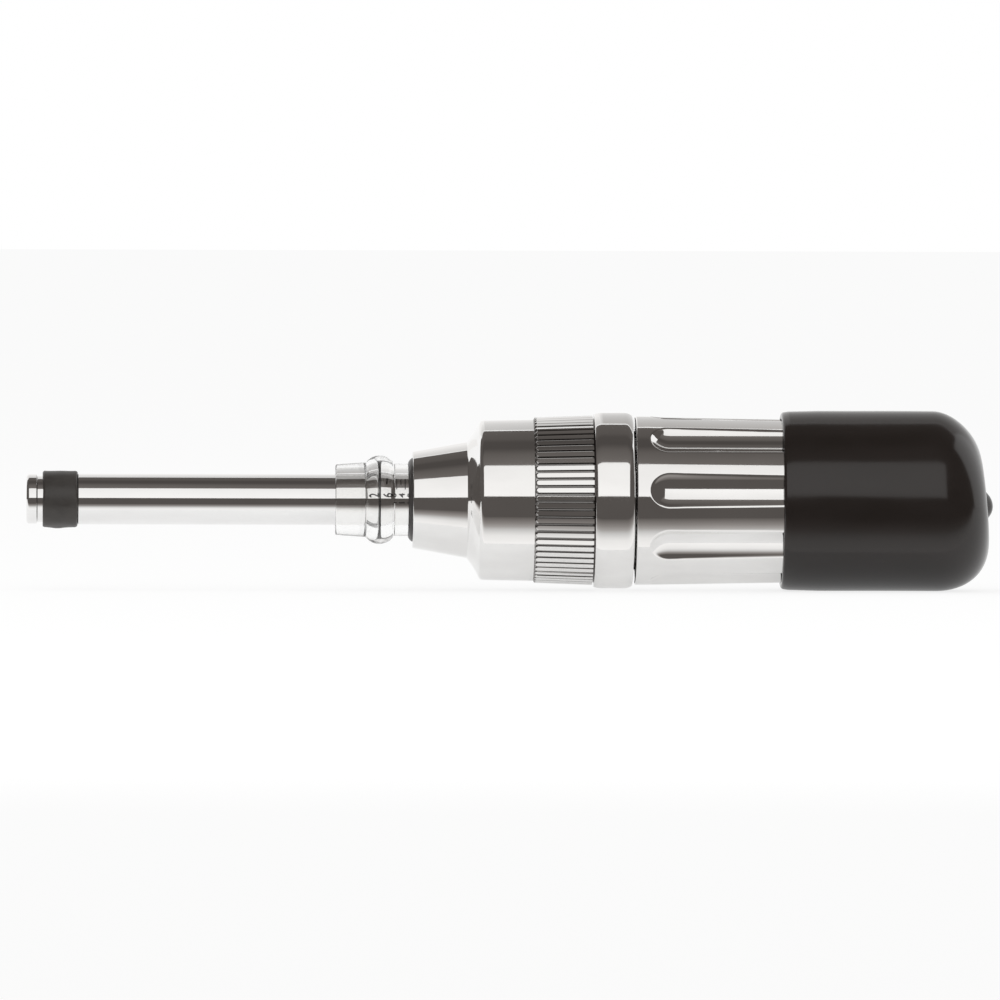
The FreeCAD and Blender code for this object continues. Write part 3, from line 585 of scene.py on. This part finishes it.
def make_sleeve():
    """Nose cone, shoulder, body, knurl and rear ring, hollow inside like a thimble."""
    start, end = ends("adjusting_sleeve")
    crown = reach("adjusting_sleeve")
    count = TEETH * 4
    cone_end, bevel_end, body_end = start + 10.25, start + 12.65, start + 22.6
    knurl_start, knurl_end, ring_start = start + 22.75, start + 33.8, start + 34.05
    ring_crown, ring_fall = start + 35.6, end - 1.45
    body_radius, knurl_front, knurl_rear = 15.2, 15.53, 15.93
    mouth, land, relief, chamber, bush, nose_bore = 16.0, 12.96, 13.5, 9.0, 6.85, 7.7
    land_start, land_end, nose_bore_end = start + 26.1, end - 6.8, start + 2.4
    chamber_start, chamber_end = start + 11.5, start + 15.1

    bevel = arc((cone_end, 11.02), (bevel_end, 15.02), -14, steps=5)
    front = rounded([
        (start, nose_bore), (start, 9.05, 0.2), (cone_end - 0.05, 10.92, 0.05), (cone_end, 11.02), *bevel,
        (bevel_end, 15.02, 1.1), (body_end, body_radius), (body_end + 0.1, body_radius)])
    rise = arc((ring_start, 16.281), (ring_crown, crown), 4.6, steps=4)
    fall = arc((ring_fall, crown), (end, 16.0865), 2.5, steps=7)
    rear = rounded([
        (knurl_end + 0.02, 15.42), (ring_start, 15.42, 0.06), (ring_start, 16.281, 0.22), *rise,
        (ring_crown, crown), (ring_fall, crown), *fall, (end, 16.0865), (end, mouth), (end - 0.3, mouth)])
    inside = [
        (land_end, mouth), (land_end, land), (land_start, land), (land_start, relief),
        (chamber_end, relief), (chamber_end, chamber), (chamber_start, chamber), (chamber_start, bush),
        (nose_bore_end, bush), (nose_bore_end, nose_bore)]

    def crown_at(x):
        return knurl_front + (knurl_rear - knurl_front) * (x - knurl_start) / (knurl_end - knurl_start)

    ridge_shape = knurled(knurl_start, floor_half=0.1, wall=0.2)
    ridges = [tooth_ring(x, crown_at(x), ridge_shape) for x in knurl_places(knurl_start, knurl_end)]
    loops = rings(front, count) + ridges + rings(rear, count)
    loops += rings(with_loops([Vector(point) for point in inside]), count)
    piece = skin("adjusting_sleeve_turned", loops, closed=True, sharp=60)
    # Painted shade in the knurl's grooves, written as the "groove" attribute.
    mark_grooves(piece, knurl_start - 0.05, ring_start + 0.05, crown_at)
    put(piece, FINISHES["chrome"], "sleeve", "chrome", "adjusting_sleeve")


# ---------------------------------------------------------------- handle


FLUTES = 9
FLUTE_POINTS = 80


def fluted(start, floor, tool, phase, edge):
    """A shape for rings of the barrel: scoops cut by a ball-nosed tool, with rolled edges."""
    pitch = TURN / FLUTES
    line = floor + tool
    half_length = 3.64
    nose = start + half_length

    def shape(x, radius, angle):
        off = ((angle - phase) / pitch + 0.5) % 1 - 0.5
        off *= pitch
        behind = min(x - nose, 0)
        room = tool * tool - behind * behind - (line * math.sin(off)) ** 2
        if room <= 0:
            return x, radius
        cut = line * math.cos(off) - math.sqrt(room)
        return x, soft_low(radius, cut, edge)

    return shape


def make_barrel():
    """The fluted barrel, its spigot inside the sleeve, and its bores."""
    spigot_start, end = ends("handle_barrel")
    cap_start = ends("end_cap")[0]
    start = ends("adjusting_sleeve")[1] + 0.42
    flute_start = start + 2.68
    front_radius, rear_radius = 15.87, 15.42
    spigot, clutch_bore, web_bore, cavity = 12.9, 9.6, 3.95, 8.0
    plain, fine = FLUTES * 16, FLUTES * FLUTE_POINTS
    stop_start, stop_end = ends("stop_ring")
    web_start, web_end, corner = end - 52, end - 46.8, 5.5

    inside = rounded([
        (end, 9.0), (end, cavity, 0.2), (web_end, cavity, 0.2), (web_end, web_bore, 0.1),
        (web_start, web_bore, 0.1), (web_start, clutch_bore, 0.2), (spigot_start, clutch_bore, 0.3),
        (spigot_start, spigot, 0.5), (stop_start - 0.05, spigot), (stop_start - 0.05, 12.0),
        (stop_end + 0.05, 12.0), (stop_end + 0.05, spigot), (start, spigot, 0.2),
        (start, front_radius, 0.35), (flute_start - 0.9, front_radius)])

    def radius_at(x):
        share = (x - flute_start) / (cap_start - flute_start)
        return front_radius + (rear_radius - front_radius) * min(max(share, 0), 1)

    cells = [flute_start - 0.6 + 0.13 * step for step in range(45)]
    cells += [flute_start + 6.2, flute_start + 14, cap_start - 0.5, cap_start + 2, end - 8]
    shape = fluted(flute_start, 14.36, 5.13, math.radians(8.2), 0.3)
    flutes = [ring(x, radius_at(x), fine, shape) for x in cells]
    for step in range(1, 9):
        angle = math.radians(90) * step / 8
        x = end - corner + corner * math.sin(angle)
        flutes.append(ring(x, rear_radius - corner + corner * math.cos(angle), fine, shape))
    piece = skin("handle_barrel_fluted", rings(inside, plain) + flutes, closed=True, sharp=60)
    put(piece, FINISHES["chrome"], "handle", "chrome", "handle_barrel")


def make_cap():
    """The dipped cap: a soft lip, long straight sides, a slanting end and the nub of the last drip."""
    start, _ = ends("end_cap")
    side = reach("end_cap")
    end = start + 38.45
    corner, slant = 9.6, 0.091
    nub_drop, nub_curve, nub_height, nub_blend = -0.7, 3.2, 1.45, 0.9
    count = 256

    def nub(radius, angle):
        off = math.hypot(radius * math.cos(angle), radius * math.sin(angle) - nub_drop)
        ball = math.sqrt(max(nub_curve ** 2 - off ** 2, 0)) - (nub_curve - nub_height)
        return -soft_low(-ball, 0, nub_blend) if off < nub_curve else 0

    def leaning(x, radius, angle):
        lean = slant * radius * math.sin(angle) * smooth_step(end - 13, end - 1, x) ** 0.8
        drip = nub(radius, angle) if x > end - 3 else 0
        ripple = 0.02 * math.sin(angle * 3 + x * 0.21) + 0.015 * math.sin(angle * 5 - x * 0.13)
        return x - lean + drip, radius + ripple * smooth_step(start + 1, start + 6, x) * min(radius / side, 1)

    mouth = rounded([(start, 15.46), (start, side - 0.35, 0.62), (start + 1.4, side - 0.14, 1.5),
                     (start + 7, side, 6), (start + 12, side)])
    sides = [(start + 12 + 2 * step, side) for step in range(1, 9)]
    bore, bore_end = 15.46, ends("handle_barrel")[1] + 0.3
    loops = rings(rounded([(bore_end, 0), (bore_end, bore, 5.3), (start + 0.1, bore)]), count)
    loops += rings(mouth, count, leaning) + rings(sides, count, leaning)
    flat = side - corner
    for step in range(19):
        angle = math.radians(5 * step)
        loops.append(ring(end - corner + corner * math.sin(angle), flat + corner * math.cos(angle),
                          count, leaning))
    steps = 36
    for step in range(1, steps + 1):
        loops.append(ring(end, flat * (1 - step / steps), count, leaning))
    piece = skin("end_cap_dipped", loops, sharp=60)
    put(piece, FINISHES["black_vinyl"], "handle", "black_vinyl", "end_cap")


def make_spring():
    """The main spring of flat wire, as one fixed coil between its node's ends. In the real tool it shortens
    towards the pressure plate as the sleeve is screwed in.
    """
    start, end = ends("main_spring")
    wide, thick, radius, pitch = 2.2, 1.9, 7.6, 3.2
    steps_a_turn = 48
    coiled = end - start - thick
    steps = round(coiled / pitch * steps_a_turn)
    mesh = bmesh.new()
    sections = []
    for step in range(steps + 1):
        angle = TURN * step / steps_a_turn
        x = start + thick / 2 + coiled * step / steps
        sections.append([spot(x + along * thick / 2, radius + out * wide / 2, angle)
                         for along, out in ((-1, -1), (1, -1), (1, 1), (-1, 1))])
    add_bar(mesh, sections)
    piece = finished("main_spring_coil", mesh, sharp=40)
    put(piece, FINISHES["spring_steel"], "handle", "spring_steel", "main_spring")
    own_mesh(piece)


make_shank()
make_band()
make_scale()
make_lens()
make_index()
make_retainer()
make_sleeve()
make_barrel()
make_cap()
make_spring()

KEPT = {
    "retaining_ball": "bearing_steel", "shank_seal": "black_rubber", "nose_bush": "bronze",
    "front_thrust_washer": "bronze", "spring_seat": "plain_steel", "pressure_plate": "plain_steel",
    "plate_key_pins": "bearing_steel", "clutch_balls": "bearing_steel", "driven_disc": "plain_steel",
    "thrust_race_front": "bearing_steel", "thrust_balls": "bearing_steel", "thrust_cage": "bronze",
    "thrust_race_rear": "bearing_steel", "shank_clip": "spring_steel", "stop_ring": "spring_steel",
    "end_plug": "plain_steel",
}
for name, slot in KEPT.items():
    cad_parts[name].material_slots[0].material = FINISHES[slot]


# ---------------------------------------------------------------- studio


DARK = 0.096         # level of the dark room round the tool, where 1 is white


def make_glow():
    """What the studio's cards shine with: the level written on their points, warm where it is dark."""
    made = bpy.data.materials.new("studio_glow")
    made.use_nodes = True
    tree = made.node_tree
    tree.nodes.clear()
    level = tree.nodes.new("ShaderNodeAttribute")
    level.attribute_name = "level"
    warmth = tree.nodes.new("ShaderNodeValToRGB")
    for stop, place, colour in zip(warmth.color_ramp.elements, (0.08, 0.6),
                                   ((1, 0.9, 0.84), (1, 0.99, 0.98))):
        stop.position = place
        stop.color = (*colour, 1)
    light = node(tree, "ShaderNodeEmission", Strength=1.0)
    out = tree.nodes.new("ShaderNodeOutputMaterial")
    tree.links.new(level.outputs["Fac"], warmth.inputs["Fac"])
    tree.links.new(warmth.outputs["Color"], light.inputs["Color"])
    tree.links.new(level.outputs["Fac"], light.inputs["Strength"])
    tree.links.new(light.outputs["Emission"], out.inputs["Surface"])
    return made


GLOW = make_glow()


def card(name, across, along, place, level):
    """A card that only reflections see. place and level are asked at each pair of amounts in two lists."""
    points = [(u, v) for u in across for v in along]
    wide = len(along)
    starts = [row * wide + column for row in range(len(across) - 1) for column in range(wide - 1)]
    faces = [(start, start + 1, start + wide + 1, start + wide) for start in starts]
    data = bpy.data.meshes.new(name)
    data.from_pydata([place(u, v) for u, v in points], [], faces)
    layer = data.attributes.new("level", "FLOAT", "POINT")
    for mark, (u, v) in zip(layer.data, points):
        mark.value = level(u, v)
    data.materials.append(GLOW)
    piece = bpy.data.objects.new(name, data)
    bpy.context.scene.collection.objects.link(piece)
    piece.visible_camera = False
    piece.visible_diffuse = False
    piece.visible_shadow = False
    return piece


def evenly(low, high, steps):
    """Evenly spaced amounts from one to another."""
    return [low + (high - low) * step / steps for step in range(steps + 1)]


def between(stops, amount):
    """The level at an amount, between the levels of the (amount, level) stops on either side."""
    for (low, first), (high, second) in zip(stops, stops[1:]):
        if amount <= high:
            share = min(max((amount - low) / (high - low), 0), 1)
            return first + (second - first) * share
    return stops[-1][1]


def around(angle, distance, x):
    """A place at a height angle in degrees and a distance from the tool's axis, in metres."""
    turn = math.radians(angle)
    return Vector((x, -distance * math.cos(turn), distance * math.sin(turn)))


def make_cards():
    """The room that the metal mirrors: a bright key card, a dark room, a light back and a pale floor."""
    floor = cad_box[0].z
    left, right, front, roof = -0.9, 1.2, -1.35, 1.3
    roof_end, left_end, right_end = 0.72, 0.83, 0.05
    key_left, key_right = -0.35, 0.54

    key_levels = [(6.3, 1.02), (51.5, 0.93)]
    card("key_card", evenly(6.3, 51.5, 12), (key_left, key_right),
         lambda angle, x: around(angle, 0.9, x), lambda angle, x: between(key_levels, angle))
    card("front_wall", (left, right), (floor, roof),
         lambda x, z: Vector((x, front, z)), lambda x, z: DARK)
    card("left_wall", (front, left_end), (floor, roof),
         lambda y, z: Vector((left, y, z)), lambda y, z: DARK)
    card("right_wall", (front, right_end), (floor, roof),
         lambda y, z: Vector((right, y, z)), lambda y, z: DARK)

    roof_levels = [(46, 0.16), (52, 0.16), (70, 0.12), (80, 0.075), (92, 0.075), (99, 0.1), (119, 0.12)]
    card("roof_card", evenly(front, roof_end, 60), (left, right),
         lambda y, x: Vector((x, y, roof)),
         lambda y, x: between(roof_levels, math.degrees(math.atan2(roof, -y))))

    back_levels = [(121, 0.48), (144, 0.6), (165, 0.78)]
    lighter_left, lightest = [(0.07, 1.5), (0.13, 1.0)], 0.95
    card("back_card", evenly(121, 165, 12), evenly(-0.6, 0.8, 28),
         lambda angle, x: around(angle, 1.0, x),
         lambda angle, x: min(between(back_levels, angle) * between(lighter_left, x), lightest))

    above_floor = floor + 0.3 * MM
    floor_levels = [(17, 1.0), (22, 0.89), (24, 0.78), (27, 0.6), (30, 0.4), (34, 0.28), (39, 0.2),
                    (47, 0.11)]
    card("floor_card", evenly(-0.017, -0.047, 30), (left, right),
         lambda y, x: Vector((x, y, above_floor)), lambda y, x: between(floor_levels, -y / MM))
    card("far_floor_card", (-0.047, front), (left, right),
         lambda y, x: Vector((x, y, above_floor)), lambda y, x: DARK)


def make_floor():
    """A pale floor that keeps the tool's shadow. Reflections see it paler than the lamps leave it."""
    size = 12.0
    height = cad_box[0].z
    data = bpy.data.meshes.new("floor")
    corners = [(-size, -size, height), (size, -size, height), (size, size, height), (-size, size, height)]
    data.from_pydata(corners, [], [(0, 1, 2, 3)])
    floor = bpy.data.objects.new("floor", data)
    bpy.context.scene.collection.objects.link(floor)
    made = bpy.data.materials.new("pale_floor")
    made.use_nodes = True
    tree = made.node_tree
    tree.nodes.clear()
    paint = node(tree, "ShaderNodeBsdfDiffuse", Color=(0.92, 0.92, 0.915, 1))
    white = node(tree, "ShaderNodeEmission", Color=(1, 1, 1, 1), Strength=1.0)
    ray = tree.nodes.new("ShaderNodeLightPath")
    mix = tree.nodes.new("ShaderNodeMixShader")
    out = tree.nodes.new("ShaderNodeOutputMaterial")
    link = tree.links.new
    share = None
    for kind, amount in (("Is Camera Ray", 0.8), ("Is Glossy Ray", 0.5), ("Is Transmission Ray", 0.8)):
        part = node(tree, "ShaderNodeMath")
        part.operation = "MULTIPLY_ADD"
        part.inputs[1].default_value = amount
        link(ray.outputs[kind], part.inputs[0])
        if share:
            link(share, part.inputs[2])
        else:
            part.inputs[2].default_value = 0
        share = part.outputs["Value"]
    link(share, mix.inputs["Fac"])
    link(paint.outputs["BSDF"], mix.inputs[1])
    link(white.outputs["Emission"], mix.inputs[2])
    link(mix.outputs["Shader"], out.inputs["Surface"])
    data.materials.append(made)


def make_world():
    """White to the camera and to reflections, and softer as a source of light."""
    world = bpy.data.worlds.new("studio")
    bpy.context.scene.world = world
    world.use_nodes = True
    tree = world.node_tree
    sky = tree.nodes["Background"]
    sky.inputs["Color"].default_value = (1, 1, 1, 1)
    ray = tree.nodes.new("ShaderNodeLightPath")
    soft = node(tree, "ShaderNodeMapRange", From_Min=0.0, From_Max=1.0, To_Min=1.0, To_Max=0.85)
    tree.links.new(ray.outputs["Is Diffuse Ray"], soft.inputs["Value"])
    tree.links.new(soft.outputs["Result"], sky.inputs["Strength"])


def softbox(name, place, target, width, height, level):
    """An area lamp that faces the target and doesn't show in reflections. level 1 is a white face."""
    data = bpy.data.lights.new(name, "AREA")
    data.shape = "RECTANGLE"
    data.size, data.size_y = width, height
    data.energy = math.pi * width * height * level
    lamp = bpy.data.objects.new(name, data)
    lamp.location = place
    lamp.rotation_euler = (Vector(target) - Vector(place)).to_track_quat("-Z", "Y").to_euler()
    lamp.visible_camera = False
    lamp.visible_glossy = False
    bpy.context.scene.collection.objects.link(lamp)


def make_lamps():
    """A soft key from the front above, and a softer one from the top."""
    middle = Vector(((cad_box[0].x + cad_box[1].x) / 2, 0, 0))
    softbox("key", around(29, 0.9, middle.x), middle, 0.9, 0.65, 0.9)
    softbox("top", middle + Vector((0, 0.1, 1.3)), middle, 1.6, 1.4, 0.35)


def make_camera():
    """A long lens a little to the tip's side, level with the tool."""
    distance, view_width, side_angle, roll = 3.0, 0.188, 1.6, 0.17
    data = bpy.data.cameras.new("camera")
    data.sensor_width = 36.0
    data.lens = data.sensor_width * distance / view_width
    data.clip_end = 50.0
    target = Vector((0.0890, 0, 0.0))
    turn = math.radians(side_angle)
    height = math.radians(1.2)
    place = target + distance * Vector((-math.sin(turn) * math.cos(height),
                                        -math.cos(turn) * math.cos(height), math.sin(height)))
    camera = bpy.data.objects.new("camera", data)
    camera.location = place
    aim = (target - place).to_track_quat("-Z", "Y").to_matrix().to_4x4()
    camera.rotation_euler = (aim @ Matrix.Rotation(math.radians(roll), 4, "Z")).to_euler()
    bpy.context.scene.collection.objects.link(camera)
    bpy.context.scene.camera = camera


make_floor()
make_world()
make_cards()
make_lamps()
make_camera()
bpy.context.scene.view_settings.view_transform = "Standard"
